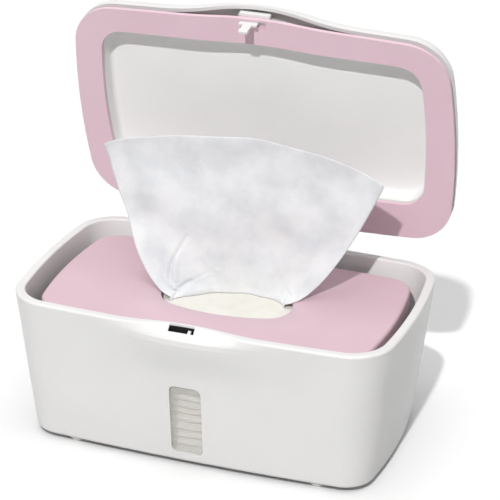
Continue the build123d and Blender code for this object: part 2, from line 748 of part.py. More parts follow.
def spring_start_x():
    """Where the hinge spring's coil starts."""
    return -SPRING_PITCH * SPRING_TURNS / 2


def spring_foot_x():
    """Where the spring's foot meets its hole: the foot leans with the coil's climb."""
    lean = SPRING_PITCH / (2 * pi * SPRING_RADIUS)
    return spring_start_x() - lean * LEDGE_DROP


def arm_lean():
    """The direction of the arm's front line from the axis, lid closed, as an angle in the YZ plane."""
    return atan2(arm_root_z() - HINGE_Z, arm_root_y() - HINGE_Y)


def arm_root_y():
    """The middle of the arm's end at the shell, lid closed."""
    return HALF_DEPTH - 1.0


def arm_root_z():
    """The height of the arm's end at the shell, lid closed."""
    return SHELL_Z + 0.45 * SHELL_HEIGHT


def hinge_spring():
    """The torsion spring on the pin: a foot in the ledge's hole, the coil, and a leg on the lid's arm."""
    open_lean = arm_lean() - radians(OPEN_ANGLE)
    # The leg leaves the coil along the opened arm, so the coil ends a quarter turn before that direction.
    end_angle = open_lean + pi / 2
    half_turns = 2 * SPRING_TURNS
    centre = (spring_start_x(), HINGE_Y, HINGE_Z)
    whole, (start, start_way), _ = coil_edges(centre, SPRING_RADIUS, SPRING_PITCH, half_turns, pi, -1)
    climb = SPRING_PITCH / (2 * pi)
    last_angle = pi - pi * half_turns
    extra = (last_angle - end_angle) % (2 * pi)
    end_x = centre[0] + climb * (pi * half_turns + extra)
    end = (end_x, HINGE_Y + SPRING_RADIUS * cos(end_angle), HINGE_Z + SPRING_RADIUS * sin(end_angle))
    end_way = (climb, SPRING_RADIUS * sin(end_angle), -SPRING_RADIUS * cos(end_angle))
    coil_end = whole[-1] @ 1
    coil_way = whole[-1] % 1
    closing = biarc(tuple(coil_end), tuple(coil_way), end, end_way)
    foot_way = Vector(*start_way).normalized()
    drop = LEDGE_DROP + 0.6 * LEDGE_THICKNESS
    foot_end = Vector(*start) - foot_way * (drop / foot_way.Z)
    leg_way = Vector(*end_way).normalized()
    leg_end = Vector(*end) + leg_way * SPRING_ARM_LEG
    edges = [Line(foot_end, start)] + whole + closing + [Line(end, leg_end)]
    print(f"hinge spring, least gap to itself: {least_gap(edges, SPRING_RADIUS, SPRING_WIRE):.2f} mm")
    return wire_along(edges, SPRING_WIRE)


def button_spring():
    """The small spring between the button and its guide, lid closed. It is wound along Y."""
    start = button_back() + SMALL_SPRING_WIRE / 2 + SEAT_CLEARANCE
    length = guide_back() - SMALL_SPRING_WIRE / 2 - SEAT_CLEARANCE - start
    pitch = length / SMALL_SPRING_TURNS
    edges, _, _ = coil_edges((0, 0, 0), SMALL_SPRING_RADIUS, pitch, 2 * SMALL_SPRING_TURNS, 0, 1)
    gap = least_gap(edges, SMALL_SPRING_RADIUS, SMALL_SPRING_WIRE)
    print(f"button spring, least gap to itself: {gap:.2f} mm")
    coil = wire_along(edges, SMALL_SPRING_WIRE).rotate(Axis.Z, 90)
    return place(coil, FRONT_MIDDLE, start, (button_low() + button_top()) / 2)


def shell_form(draw_in, low):
    """The rounded form of the shell, drawn in all round for its inside."""
    inset = draw_in - LID_OVERHANG
    outline = bowed_outline(inset, RIM_CORNER - inset, low, SHELL_LIP, SHELL_LIP_HALF)
    form = prism(outline, SHELL_Z + SHELL_HEIGHT - draw_in - low)
    return fillet(form.edges().group_by(Axis.Z)[-1], SHELL_ROUND - draw_in)


def lid_arm():
    """The lid's hinge arm, lid closed: a web that ends in two knuckles, with room between them for the spring."""
    barrel = Edge.make_circle(KNUCKLE_RADIUS, Plane(origin=(-ARM_HALF, HINGE_Y, HINGE_Z), z_dir=(1, 0, 0)))
    root_plane = Plane(origin=(-ARM_HALF, arm_root_y(), arm_root_z()), z_dir=(1, 0, 0))
    root = Edge.make_circle(0.5 * KNUCKLE_RADIUS, root_plane)
    arm = extrude(hull_face([barrel, root], -ARM_HALF), amount=2 * ARM_HALF, dir=(1, 0, 0))
    arm = arm - hinge_cylinder(PIN_RADIUS + KNUCKLE_FIT, -ARM_HALF - 1, ARM_HALF + 1)
    half = ARM_HALF - KNUCKLE_LENGTH
    arm = arm - hinge_cylinder(KNUCKLE_RADIUS + SPRING_ROOM, -half, half)
    # The spring's leg lies in front of the web, along the arm.
    leg_side = SPRING_RADIUS - SPRING_WIRE / 2 - SEAT_CLEARANCE
    leg_cut = block(-half, half, 0, SPRING_ARM_LEG + 1.5, leg_side, KNUCKLE_RADIUS + 1)
    leg_cut = leg_cut.rotate(Axis.X, degrees(arm_lean()))
    return arm - place(leg_cut, 0, HINGE_Y, HINGE_Z)


def lid_shell():
    """The white outer lid with its hinge arm, lid closed."""
    form = shell_form(0, SHELL_Z - 0.5)
    inside = shell_form(SHELL_WALL, SHELL_Z - 1.5)
    dome = trimmed_above(form, SHELL_Z)
    arm = lid_arm() - inside
    return fuse(dome - inside, arm)


def plate_outline(inset, z):
    """The plate's plan outline."""
    return bowed_outline(PLATE_INSET + inset, PLATE_CORNER - inset, z)


def oval(half_x, half_y, z):
    """An oval face at a height, made of arcs."""
    east, north, west, south = (half_x, 0), (0, half_y), (-half_x, 0), (0, -half_y)
    edges = biarc(east, (0, 1), north, (-1, 0)) + biarc(north, (-1, 0), west, (0, -1))
    edges += biarc(west, (0, -1), south, (1, 0)) + biarc(south, (1, 0), east, (0, 1))
    return place(Face(Wire(edges)), z=z)


def funnel(grow, low, top):
    """The funnel in the plate as a solid: a wide shallow slope that steepens into the throat."""
    sections = [oval(HOLE_HALF_X + grow, HOLE_HALF_Y + grow, low)]
    for step in range(FUNNEL_STEPS + 1):
        share = step / FUNNEL_STEPS
        spread = 0.45 * share ** 3 + 0.55 * share
        depth = (1 - share) ** 1.7 + 0.12 * (1 - share) * share
        half_x = HOLE_HALF_X + (FUNNEL_HALF_X - HOLE_HALF_X) * spread
        half_y = HOLE_HALF_Y + (FUNNEL_HALF_Y - HOLE_HALF_Y) * spread
        sections.append(oval(half_x + grow, half_y + grow, top - FUNNEL_DEPTH * depth))
    return skin(sections, ruled=True)


def screw_places():
    """The plate's four screws."""
    x = HALF_WIDTH - PLATE_INSET - SCREW_IN - SIDE_BOW
    y = HALF_DEPTH - PLATE_INSET - SCREW_IN - FRONT_BOW
    return [(-x, -y), (x, -y), (-x, y), (x, y)]


def throat_low():
    """The lower end of the funnel's throat."""
    return PLATE_TOP - FUNNEL_DEPTH - THROAT_LENGTH


def plate_cover():
    """The plate's upper shell, with the funnel and the screw bosses."""
    outer = prism(plate_outline(0, PLATE_SEAM_Z), COVER_HEIGHT)
    outer = fillet(outer.edges().group_by(Axis.Z)[-1], PLATE_ROUND)
    inner = prism(plate_outline(COVER_SKIN, PLATE_SEAM_Z - 1), COVER_HEIGHT - COVER_SKIN + 1)
    wall = funnel(COVER_SKIN, throat_low(), PLATE_TOP - COVER_SKIN / 2)
    cover = (outer - inner) + wall
    for x, y in screw_places():
        low = PLATE_BASE_TOP + SEAM
        cover = cover + place(Solid.make_cylinder(BOSS_RADIUS, PLATE_TOP - COVER_SKIN / 2 - low), x, y, low)
    cover = cover - funnel(0, throat_low() - 1, PLATE_TOP + FUNNEL_RUN_OUT)
    for x, y in screw_places():
        length = COVER_HEIGHT - COVER_SKIN
        cover = cover - place(Solid.make_cylinder(SCREW_RADIUS + PIN_FIT, length), x, y, PLATE_SEAM_Z - 1)
    return cover


def plate_base():
    """The plate's lower shell."""
    base = prism(plate_outline(0, PLATE_BOTTOM), BASE_PLATE_THICKNESS)
    grow = COVER_SKIN + WEIGHT_CLEARANCE
    base = base - prism(oval(HOLE_HALF_X + grow, HOLE_HALF_Y + grow, PLATE_BOTTOM - 1), REACH)
    for x, y in screw_places():
        base = base - place(Solid.make_cylinder(SCREW_RADIUS + SEAT_CLEARANCE, REACH), x, y, 0)
        head = Solid.make_cylinder(SCREW_HEAD_RADIUS + SEAT_CLEARANCE, SCREW_HEAD_HEIGHT)
        base = base - place(head, x, y, PLATE_BOTTOM)
    return base


def plate_weight():
    """The steel weight inside the plate."""
    low = PLATE_BASE_TOP
    inset = COVER_SKIN + WEIGHT_CLEARANCE
    weight = prism(plate_outline(inset, low), WEIGHT_THICKNESS)
    grow = COVER_SKIN + 2 * WEIGHT_CLEARANCE
    spread_x = HOLE_HALF_X + grow + 3
    spread_y = HOLE_HALF_Y + grow + 3
    weight = weight - prism(oval(spread_x, spread_y, low - 1), REACH)
    for x, y in screw_places():
        weight = weight - place(Solid.make_cylinder(BOSS_RADIUS + WEIGHT_CLEARANCE, REACH), x, y, 0)
    return weight


def plate_screws():
    """The screws that hold the plate together, as one group."""
    screws = []
    for x, y in screw_places():
        head = Solid.make_cylinder(SCREW_HEAD_RADIUS, SCREW_HEAD_HEIGHT)
        shank = Solid.make_cylinder(SCREW_RADIUS, BASE_PLATE_THICKNESS + 0.5 * COVER_HEIGHT)
        screw = fuse(head, shank)
        screws.append(place(screw, x, y, PLATE_BOTTOM))
    return Compound(children=screws)


def pack_block(low, high):
    """A flat block of folded wipes."""
    return rounded_block(PACK_HALF_X, PACK_HALF_Y, PACK_CORNER, low, high - low)


def wipe_section(z):
    """The standing wipe's plan section at a height: one arc for each fold."""
    share = min(max(z - WIPE_NECK, 0.0) / (WIPE_CORNER_Z - WIPE_NECK), 1.0) ** WIPE_SPREAD

    def mix(low, high):
        return low + (high - low) * share

    left = (mix(WIPE_BASE_LEFT[0], WIPE_TOP_LEFT[0]), mix(WIPE_BASE_LEFT[1], WIPE_TOP_LEFT[1]))
    right = (mix(WIPE_BASE_RIGHT[0], WIPE_TOP_RIGHT[0]), mix(WIPE_BASE_RIGHT[1], WIPE_TOP_RIGHT[1]))
    fold = mix(WIPE_FOLD_BASE, WIPE_FOLD_TOP)
    bow = mix(WIPE_BASE_BOW, 0)

    def on_line(t, out, back):
        x = left[0] + (right[0] - left[0]) * t
        y = left[1] + (right[1] - left[1]) * t + 4 * bow * t * (1 - t)
        return (x, y + out + back, z)

    front, rear = [], []
    for index in range(WIPE_FOLDS):
        t0, t1 = index / WIPE_FOLDS, (index + 1) / WIPE_FOLDS
        out = fold if index % 2 else -fold
        for back, edges in ((0.0, front), (WIPE_THICKNESS, rear)):
            ends = on_line(t0, 0, back), on_line((t0 + t1) / 2, out, back), on_line(t1, 0, back)
            edges.append(ThreePointArc(*ends))
    start = Line(on_line(0, 0, WIPE_THICKNESS), on_line(0, 0, 0))
    end = Line(on_line(1, 0, 0), on_line(1, 0, WIPE_THICKNESS))
    return Face(Wire(front + [end] + rear[::-1] + [start]))


def pulled_wipe():
    """The wipe that stands out of the hole: gathered folds that open into a fan with a bowed free edge."""
    heights = [PACK_TOP + PACK_CLEARANCE, WIPE_NECK]
    heights += [WIPE_NECK + (WIPE_CORNER_Z - WIPE_NECK) * (step / WIPE_LEVELS) ** 2 for step in range(1, WIPE_LEVELS)]
    heights += [WIPE_CORNER_Z, WIPE_CORNER_Z + WIPE_CROWN + 1]
    fan = skin([wipe_section(z) for z in heights], ruled=True)
    left, right = WIPE_TOP_LEFT[0] - 1, WIPE_TOP_RIGHT[0] + 1
    y, low, high = -REACH / 2, WIPE_CORNER_Z, WIPE_CORNER_Z + REACH / 2
    edge = ThreePointArc((left, y, low), ((left + right) / 2, y, low + WIPE_CROWN), (right, y, low))
    around = [(right, y, low), (right, y, high), (left, y, high), (left, y, low)]
    above = Face(Wire([edge] + [Line(start, end) for start, end in zip(around, around[1:])]))
    return fan - extrude(above, amount=REACH, dir=(0, 1, 0))


def opened(shape):
    """A piece of the closed lid, swung open."""
    return shape.rotate(HINGE_AXIS, -OPEN_ANGLE)


def build():
    """Every piece by name, in its place with the lid open."""
    outside = tub_outside()
    lid = {
        "lid_shell": lid_shell(),
        "lid_liner": lid_liner(),
        "lid_ring": lid_ring(),
        "lid_seal": lid_seal(),
        "button_guide": button_guide(),
        "latch_button": latch_button(),
        "button_spring": button_spring(),
    }
    pieces = {name: opened(piece) for name, piece in lid.items()}
    pieces["tub"] = tub(outside)
    pieces["window_pane"] = window_pane()
    pieces["latch_catch"] = latch_catch(outside)
    pieces["hinge_pin"] = hinge_pin()
    pieces["hinge_spring"] = hinge_spring()
    pieces["plate_cover"] = plate_cover()
    pieces["plate_base"] = plate_base()
    pieces["plate_weight"] = plate_weight()
    pieces["plate_screws"] = plate_screws()
    pieces["wipe_stack"] = pack_block(FLOOR_Z + PACK_CLEARANCE, PACK_TOP - TOP_WIPE_THICKNESS - PACK_CLEARANCE)
    pieces["top_wipe"] = pack_block(PACK_TOP - TOP_WIPE_THICKNESS, PACK_TOP)
    pieces["pulled_wipe"] = pulled_wipe()
    for name, x, y in foot_places():
        pieces[name] = foot(x, y)
    return pieces


os.makedirs("parts", exist_ok=True)
for node, piece in build().items():
    export_step(piece, f"parts/{node}.step")
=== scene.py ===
"""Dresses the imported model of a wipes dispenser: materials, the soft wipes, a studio and the camera."""

import logging
import math
from dataclasses import dataclass, field
from enum import Enum
from typing import Any, Dict, Optional, Tuple, Union

import bmesh
import bpy
from mathutils import Matrix, Vector, noise

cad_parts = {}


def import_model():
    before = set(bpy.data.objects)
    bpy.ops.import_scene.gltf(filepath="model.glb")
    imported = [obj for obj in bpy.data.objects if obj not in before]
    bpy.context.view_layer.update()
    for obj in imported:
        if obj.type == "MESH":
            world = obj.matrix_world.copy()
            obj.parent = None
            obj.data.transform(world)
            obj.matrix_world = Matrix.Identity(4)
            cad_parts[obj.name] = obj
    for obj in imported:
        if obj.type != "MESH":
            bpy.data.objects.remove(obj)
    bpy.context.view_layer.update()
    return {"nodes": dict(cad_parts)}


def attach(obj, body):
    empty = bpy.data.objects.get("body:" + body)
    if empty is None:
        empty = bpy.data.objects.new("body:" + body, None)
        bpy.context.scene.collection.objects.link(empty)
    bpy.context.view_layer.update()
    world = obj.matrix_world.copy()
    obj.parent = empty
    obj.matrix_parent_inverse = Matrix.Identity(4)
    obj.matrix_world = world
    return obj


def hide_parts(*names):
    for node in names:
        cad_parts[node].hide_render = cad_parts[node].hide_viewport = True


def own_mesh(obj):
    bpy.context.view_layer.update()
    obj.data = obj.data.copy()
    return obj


LOG = logging.getLogger("wipes_dispenser")
MM = 0.001
WAVE_UNIT = 0.314  # a wave texture's spacing at a scale of 1, in metres
Vec = Tuple[float, float, float]


# Colour and nodes

def linear(hex_colour: str) -> Tuple[float, float, float, float]:
    """Turns an sRGB hex colour to a linear one with full alpha.

    Args:
        hex_colour: Six hex digits after a hash.

    Returns:
        Red, green, blue and alpha, as a shader socket takes them.
    """
    channels = [int(hex_colour[i:i + 2], 16) / 255 for i in (1, 3, 5)]
    bent = [c / 12.92 if c <= 0.04045 else ((c + 0.055) / 1.055) ** 2.4 for c in channels]
    return (bent[0], bent[1], bent[2], 1.0)


def smooth(value: float) -> float:
    """Eases a value from 0 to 1."""
    value = min(max(value, 0.0), 1.0)
    return value * value * (3 - 2 * value)


class NodeTree:
    """The node tree of a material or of the world, with one way to add to it."""

    def __init__(self, owner: Union[bpy.types.Material, bpy.types.World],
                 output: str = "OutputMaterial") -> None:
        """Empties the tree and gives it an output.

        Args:
            owner: The material or world to fill.
            output: The output node's type name, after "ShaderNode".
        """
        owner.use_nodes = True
        self.tree = owner.node_tree
        self.tree.nodes.clear()
        self.output = self.tree.nodes.new("ShaderNode" + output)

    def add(self, kind: str, settings: Optional[Dict[str, Any]] = None,
            sockets: Optional[Dict[Any, Any]] = None) -> bpy.types.Node:
        """Adds a node, and links or sets its inputs.

        Args:
            kind: The node's type name, after "ShaderNode".
            settings: Attributes of the node itself.
            sockets: Input name or index to a value, or to the output socket to link.

        Returns:
            The new node.
        """
        node = self.tree.nodes.new("ShaderNode" + kind)
        for name, value in (settings or {}).items():
            setattr(node, name, value)
        for name, value in (sockets or {}).items():
            if isinstance(value, bpy.types.NodeSocket):
                self.tree.links.new(value, node.inputs[name])
            else:
                node.inputs[name].default_value = value
        return node

    def surface(self, shader: bpy.types.NodeSocket) -> None:
        """Links a shader to the output."""
        self.tree.links.new(shader, self.output.inputs["Surface"])

    def backdrop(self, lit: bpy.types.NodeSocket, seen: bpy.types.NodeSocket) -> None:
        """Shows one shader to the camera, mirrors and clear pieces, and lights the object by another.

        Args:
            lit: The shader that sends light on to the object.
            seen: The shader that shows.
        """
        path = self.add("LightPath")
        direct = path.outputs["Is Camera Ray"]
        for ray in ("Is Glossy Ray", "Is Transmission Ray"):
            either = self.add("Math", {"operation": "MAXIMUM"}, {0: direct, 1: path.outputs[ray]})
            direct = either.outputs["Value"]
        mix = self.add("MixShader", sockets={0: direct, 1: lit, 2: seen})
        self.surface(mix.outputs["Shader"])


# Finishes

@dataclass(frozen=True)
class MouldedPlastic:
    """Injection-moulded plastic: one colour through and through, with the mould's fine texture."""

    name: str
    colour: str
    shade: str
    roughness: float
    ior: float = 1.49
    grain_mm: float = 0.9  # the mould texture's grain, drawn coarser than the real 0.1 mm so that it shows
    grain_depth: float = 0.02
    wave_mm: float = 45.0  # the slow unevenness where the wall shrank as it cooled
    wave_depth: float = 0.05
    coat: float = 0.0
    subsurface: float = 0.0

    def build(self) -> bpy.types.Material:
        """Makes the material.

        Returns:
            The finished material.
        """
        material = bpy.data.materials.new(self.name)
        nodes = NodeTree(material)
        place = nodes.add("TexCoord").outputs["Object"]
        # The mould's spark-worn face breaks up the gloss, so the plastic reads as satin and not as glass.
        grain = nodes.add("TexNoise", sockets={
            "Vector": place, "Scale": 1 / (self.grain_mm * MM), "Detail": 3.0, "Roughness": 0.6})
        # The wall shrinks unevenly as it cools: broad highlights waver, and the colour drifts a shade.
        wave = nodes.add("TexNoise", sockets={
            "Vector": place, "Scale": 1 / (self.wave_mm * MM), "Detail": 1.0})
        tint = nodes.add("ValToRGB", sockets={"Fac": wave.outputs["Fac"]})
        tint.color_ramp.elements[0].position = 0.35
        tint.color_ramp.elements[0].color = linear(self.shade)
        tint.color_ramp.elements[1].position = 0.65
        tint.color_ramp.elements[1].color = linear(self.colour)
        sheen = nodes.add("MapRange", sockets={
            "Value": grain.outputs["Fac"], "From Min": 0.3, "From Max": 0.7,
            "To Min": self.roughness - 0.03, "To Max": self.roughness + 0.04})
        slow = nodes.add("Bump", sockets={
            "Height": wave.outputs["Fac"], "Strength": self.wave_depth, "Distance": 1.2 * MM})
        fine = nodes.add("Bump", sockets={
            "Height": grain.outputs["Fac"], "Strength": self.grain_depth, "Distance": 0.3 * MM,
            "Normal": slow.outputs["Normal"]})
        shader = nodes.add("BsdfPrincipled", sockets={
            "Base Color": tint.outputs["Color"], "Roughness": sheen.outputs["Result"],
            "Normal": fine.outputs["Normal"], "IOR": self.ior, "Coat Weight": self.coat,
            "Coat Roughness": 0.2})
        shader.inputs["Subsurface Weight"].default_value = self.subsurface
        shader.inputs["Subsurface Scale"].default_value = 1.5 * MM
        nodes.surface(shader.outputs["BSDF"])
        return material


@dataclass(frozen=True)
class ClearStyrene:
    """Polished clear polystyrene: colourless, with sharp reflections and a slight haze.

    The thin pane bends light too little to see, so it is drawn as a film that lets most light through.
    """

    name: str = "clear_polystyrene"
    cover: float = 0.3  # how much of what lies behind the haze hides

    def build(self) -> bpy.types.Material:
        """Makes the material.

        Returns:
            The finished material.
        """
        material = bpy.data.materials.new(self.name)
        nodes = NodeTree(material)
        place = nodes.add("TexCoord").outputs["Object"]
        # The melt's flow leaves a faint unevenness that softens the pane's reflections here and there.
        flow = nodes.add("TexNoise", sockets={"Vector": place, "Scale": 1 / (9 * MM), "Detail": 1.0})
        haze = nodes.add("MapRange", sockets={
            "Value": flow.outputs["Fac"], "From Min": 0.3, "From Max": 0.7, "To Min": 0.05, "To Max": 0.12})
        shader = nodes.add("BsdfPrincipled", sockets={
            "Base Color": linear("#FFFDF6"), "Roughness": haze.outputs["Result"], "IOR": 1.59,
            "Alpha": self.cover})
        nodes.surface(shader.outputs["BSDF"])
        return material


@dataclass(frozen=True)
class DrawnSteel:
    """Drawn steel wire or rod: bright, with fine streaks left by the die."""

    name: str
    colour: str = "#C9C9C6"
    roughness: float = 0.28
    streak_mm: float = 0.6

    def build(self) -> bpy.types.Material:
        """Makes the material.

        Returns:
            The finished material.
        """
        material = bpy.data.materials.new(self.name)
        nodes = NodeTree(material)
        place = nodes.add("TexCoord").outputs["Object"]
        stretch = nodes.add("Mapping", sockets={"Vector": place, "Scale": (0.08, 1.0, 1.0)})
        # The die's streaks run along the wire, and draw the highlight out to broken lines.
        streak = nodes.add("TexNoise", sockets={
            "Vector": stretch.outputs["Vector"], "Scale": 1 / (self.streak_mm * MM), "Detail": 2.0})
        rough = nodes.add("MapRange", sockets={
            "Value": streak.outputs["Fac"], "To Min": self.roughness - 0.08, "To Max": self.roughness + 0.12})
        dent = nodes.add("Bump", sockets={
            "Height": streak.outputs["Fac"], "Strength": 0.08, "Distance": 0.1 * MM})
        shader = nodes.add("BsdfPrincipled", sockets={
            "Base Color": linear(self.colour), "Metallic": 1.0, "Roughness": rough.outputs["Result"],
            "Normal": dent.outputs["Normal"]})
        nodes.surface(shader.outputs["BSDF"])
        return material


@dataclass(frozen=True)
class SpunlaceCloth:
    """Spunlace non-woven cloth: soft tangled fibres, faint water-jet rows and a damp, matt face."""

    name: str
    colour: str
    shade: str
    fibre_mm: float = 0.7  # real fibres are 15 microns thick, so bundles are drawn instead
    row_mm: float = 1.6  # spacing of the rows that the water jets leave
    cloud_mm: float = 11.0  # size of the thicker and thinner patches of the web
    depth: float = 0.35

    def build(self) -> bpy.types.Material:
        """Makes the material.

        Returns:
            The finished material.
        """
        material = bpy.data.materials.new(self.name)
        nodes = NodeTree(material)
        place = nodes.add("TexCoord").outputs["Object"]
        # The web is laid unevenly: thick patches show whiter and thin ones greyer.
        cloud = nodes.add("TexNoise", sockets={
            "Vector": place, "Scale": 1 / (self.cloud_mm * MM), "Detail": 4.0, "Roughness": 0.55})
        # Tangled fibre bundles give the face its soft nap.
        fibre = nodes.add("TexNoise", sockets={
            "Vector": place, "Scale": 1 / (self.fibre_mm * MM), "Detail": 4.0, "Roughness": 0.7,
            "Distortion": 0.8})
        # The water jets leave faint rows, which catch the light from the side.
        rows = nodes.add("TexWave", {"bands_direction": "X"}, {
            "Vector": place, "Scale": WAVE_UNIT / (self.row_mm * MM), "Distortion": 1.5, "Detail": 2.0,
            "Detail Scale": 1.5})
        tint = nodes.add("ValToRGB", sockets={"Fac": cloud.outputs["Fac"]})
        tint.color_ramp.elements[0].position = 0.3
        tint.color_ramp.elements[0].color = linear(self.shade)
        tint.color_ramp.elements[1].position = 0.62
        tint.color_ramp.elements[1].color = linear(self.colour)
        soft = nodes.add("Bump", sockets={
            "Height": cloud.outputs["Fac"], "Strength": self.depth, "Distance": 1.0 * MM})
        lines = nodes.add("Bump", sockets={
            "Height": rows.outputs["Fac"], "Strength": 0.06, "Distance": 0.2 * MM,
            "Normal": soft.outputs["Normal"]})
        tangle = nodes.add("Bump", sockets={
            "Height": fibre.outputs["Fac"], "Strength": 0.25, "Distance": 0.15 * MM,
            "Normal": lines.outputs["Normal"]})
        shader = nodes.add("BsdfPrincipled", sockets={
            "Base Color": tint.outputs["Color"], "Roughness": 0.85, "Normal": tangle.outputs["Normal"],
            "Sheen Weight": 0.15, "Sheen Roughness": 0.6})
        nodes.surface(shader.outputs["BSDF"])
        return material


class Finish(Enum):
    """The finishes of the casing's solids."""

    WHITE = MouldedPlastic(
        "white_polypropylene_moulded", "#E7E6E5", "#E4E3E2", roughness=0.36, grain_depth=0.03,
        subsurface=0.05)
    LINER = MouldedPlastic(
        "white_polypropylene_satin", "#F2F3F1", "#EFF0EE", roughness=0.5, grain_depth=0.05, subsurface=0.05)
    PINK = MouldedPlastic(
        "pink_abs_satin_moulded", "#D6B9C3", "#D2B5BF", roughness=0.46, grain_mm=0.7, grain_depth=0.05)
    PINK_RING = MouldedPlastic(
        "pink_abs_ring_moulded", "#E5C8D3", "#E2C4CF", roughness=0.5, grain_mm=0.7, grain_depth=0.05)
    # Painted shade: the latch catch is coloured near-black to stand in for the shadow inside the latch slot.
    SLOT_SHADE_BLACK = MouldedPlastic(
        "black_painted_slot_shade", "#0C0C0C", "#101010", roughness=0.6, grain_depth=0.05)
    RUBBER = MouldedPlastic(
        "white_silicone_moulded", "#DEDDDA", "#D6D5D1", roughness=0.75, ior=1.41, grain_depth=0.08)
    CLEAR = ClearStyrene()
    ROD = DrawnSteel("steel_rod_ground", roughness=0.22)
    WIRE = DrawnSteel("steel_spring_wire_drawn", "#B9B9B6", roughness=0.3, streak_mm=0.3)


class Cloth(Enum):
    """The finishes of the soft pieces."""

    WIPE = SpunlaceCloth("spunlace_wipe_damp", "#E6E7E8", "#D5D8DB", cloud_mm=15.0, depth=0.25)
    PACK = SpunlaceCloth("spunlace_pack_folded", "#E2E1D9", "#DBD8CD", cloud_mm=11.0, depth=0.2)


# Mesh helpers

def place_mesh(name: str, shape: bmesh.types.BMesh, material: bpy.types.Material,
               smooth_faces: bool = True) -> bpy.types.Object:
    """Turns a bmesh to an object at the origin.

    Args:
        name: The piece's name.
        shape: The finished bmesh, which is freed.
        material: What it is made of.
        smooth_faces: Whether its faces are shaded smooth.

    Returns:
        The new object, linked to the scene.
    """
    mesh = bpy.data.meshes.new(name)
    shape.to_mesh(mesh)
    shape.free()
    mesh.materials.append(material)
    mesh.polygons.foreach_set("use_smooth", [smooth_faces] * len(mesh.polygons))
    piece = bpy.data.objects.new(name, mesh)
    bpy.context.scene.collection.objects.link(piece)
    return piece


def apply_modifiers(piece: bpy.types.Object) -> None:
    """Bakes a piece's modifiers to its mesh.

    Args:
        piece: The object, with live modifiers.
    """
    bpy.context.view_layer.update()
    graph = bpy.context.evaluated_depsgraph_get()
    baked = bpy.data.meshes.new_from_object(piece.evaluated_get(graph))
    piece.modifiers.clear()
    piece.data = baked


# Pieces

@dataclass
class Casing:
    """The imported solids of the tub, lid, button and plate, each with its finish."""

    pieces: Dict[Finish, Tuple[str, ...]] = field(default_factory=lambda: {
        Finish.WHITE: ("tub", "lid_shell", "latch_button", "button_guide"),
        Finish.LINER: ("lid_liner",),
        Finish.PINK: ("plate_cover", "plate_base"),
        Finish.PINK_RING: ("lid_ring",),
        # The latch catch's black is painted shade for the inside of the slot.
        Finish.SLOT_SHADE_BLACK: ("latch_catch",),
        Finish.RUBBER: (
            "lid_seal", "foot_front_left", "foot_front_right", "foot_rear_left", "foot_rear_right"),
        Finish.CLEAR: ("window_pane",),
        Finish.ROD: ("hinge_pin", "plate_screws", "plate_weight"),
        Finish.WIRE: ("hinge_spring", "button_spring"),
    })

    def dress(self, nodes: Dict[str, bpy.types.Object]) -> int:
        """Gives every solid its material.

        Args:
            nodes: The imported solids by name.

        Returns:
            How many solids were dressed.
        """
        for finish, names in self.pieces.items():
            material = finish.value.build()
            for name in names:
                mesh = nodes[name].data
                mesh.materials.clear()
                mesh.materials.append(material)
        return sum(len(names) for names in self.pieces.values())


@dataclass(frozen=True)
class Funnel:
    """The funnel in the plate, which the wipe lies on where it bends over the rim of the hole."""

    hole: Tuple[float, float] = (38.0, 20.0)
    mouth: Tuple[float, float] = (66.0, 41.0)
    top: float = 81.3
    depth: float = 5.3

    def height(self, x: float, y: float) -> float:
        """Gives the plate's height under a point, in millimetres.

        Args:
            x: Place to the right.
            y: Place to the back.

        Returns:
            The height of the plate's face, or a low value inside the hole.
        """
        low, high = 0.0, 1.0
        for _ in range(14):
            share = (low + high) / 2
            spread = 0.45 * share ** 3 + 0.55 * share
            half_x = self.hole[0] + (self.mouth[0] - self.hole[0]) * spread
            half_y = self.hole[1] + (self.mouth[1] - self.hole[1]) * spread
            if (x / half_x) ** 2 + (y / half_y) ** 2 > 1:
                low = share
            else:
                high = share
        if high < 0.001:
            return 0.0
        left = 1 - high
        return self.top - self.depth * (left ** 1.7 + 0.12 * left * high)


@dataclass(frozen=True)
class Crease:
    """A sharp little fold in the sheet, from one place to another."""

    start: Tuple[float, float]
    end: Tuple[float, float]
    depth: float
    width: float

    def push(self, across: float, up: float) -> float:
        """Gives how far the crease moves a point of the sheet, in millimetres.

        Args:
            across: The point's place from left to right, 0 to 1.
            up: The point's place from the hole to the free edge, 0 to 1.

        Returns:
            The push towards the back.
        """
        way = (self.end[0] - self.start[0], self.end[1] - self.start[1])
        along = (across - self.start[0]) * way[0] + (up - self.start[1]) * way[1]
        gone = min(max(along / (way[0] ** 2 + way[1] ** 2), 0.0), 1.0)
        off = math.hypot(across - self.start[0] - way[0] * gone, up - self.start[1] - way[1] * gone)
        return self.depth * (1 - 0.8 * gone) * math.exp(-(off / self.width) ** 2)


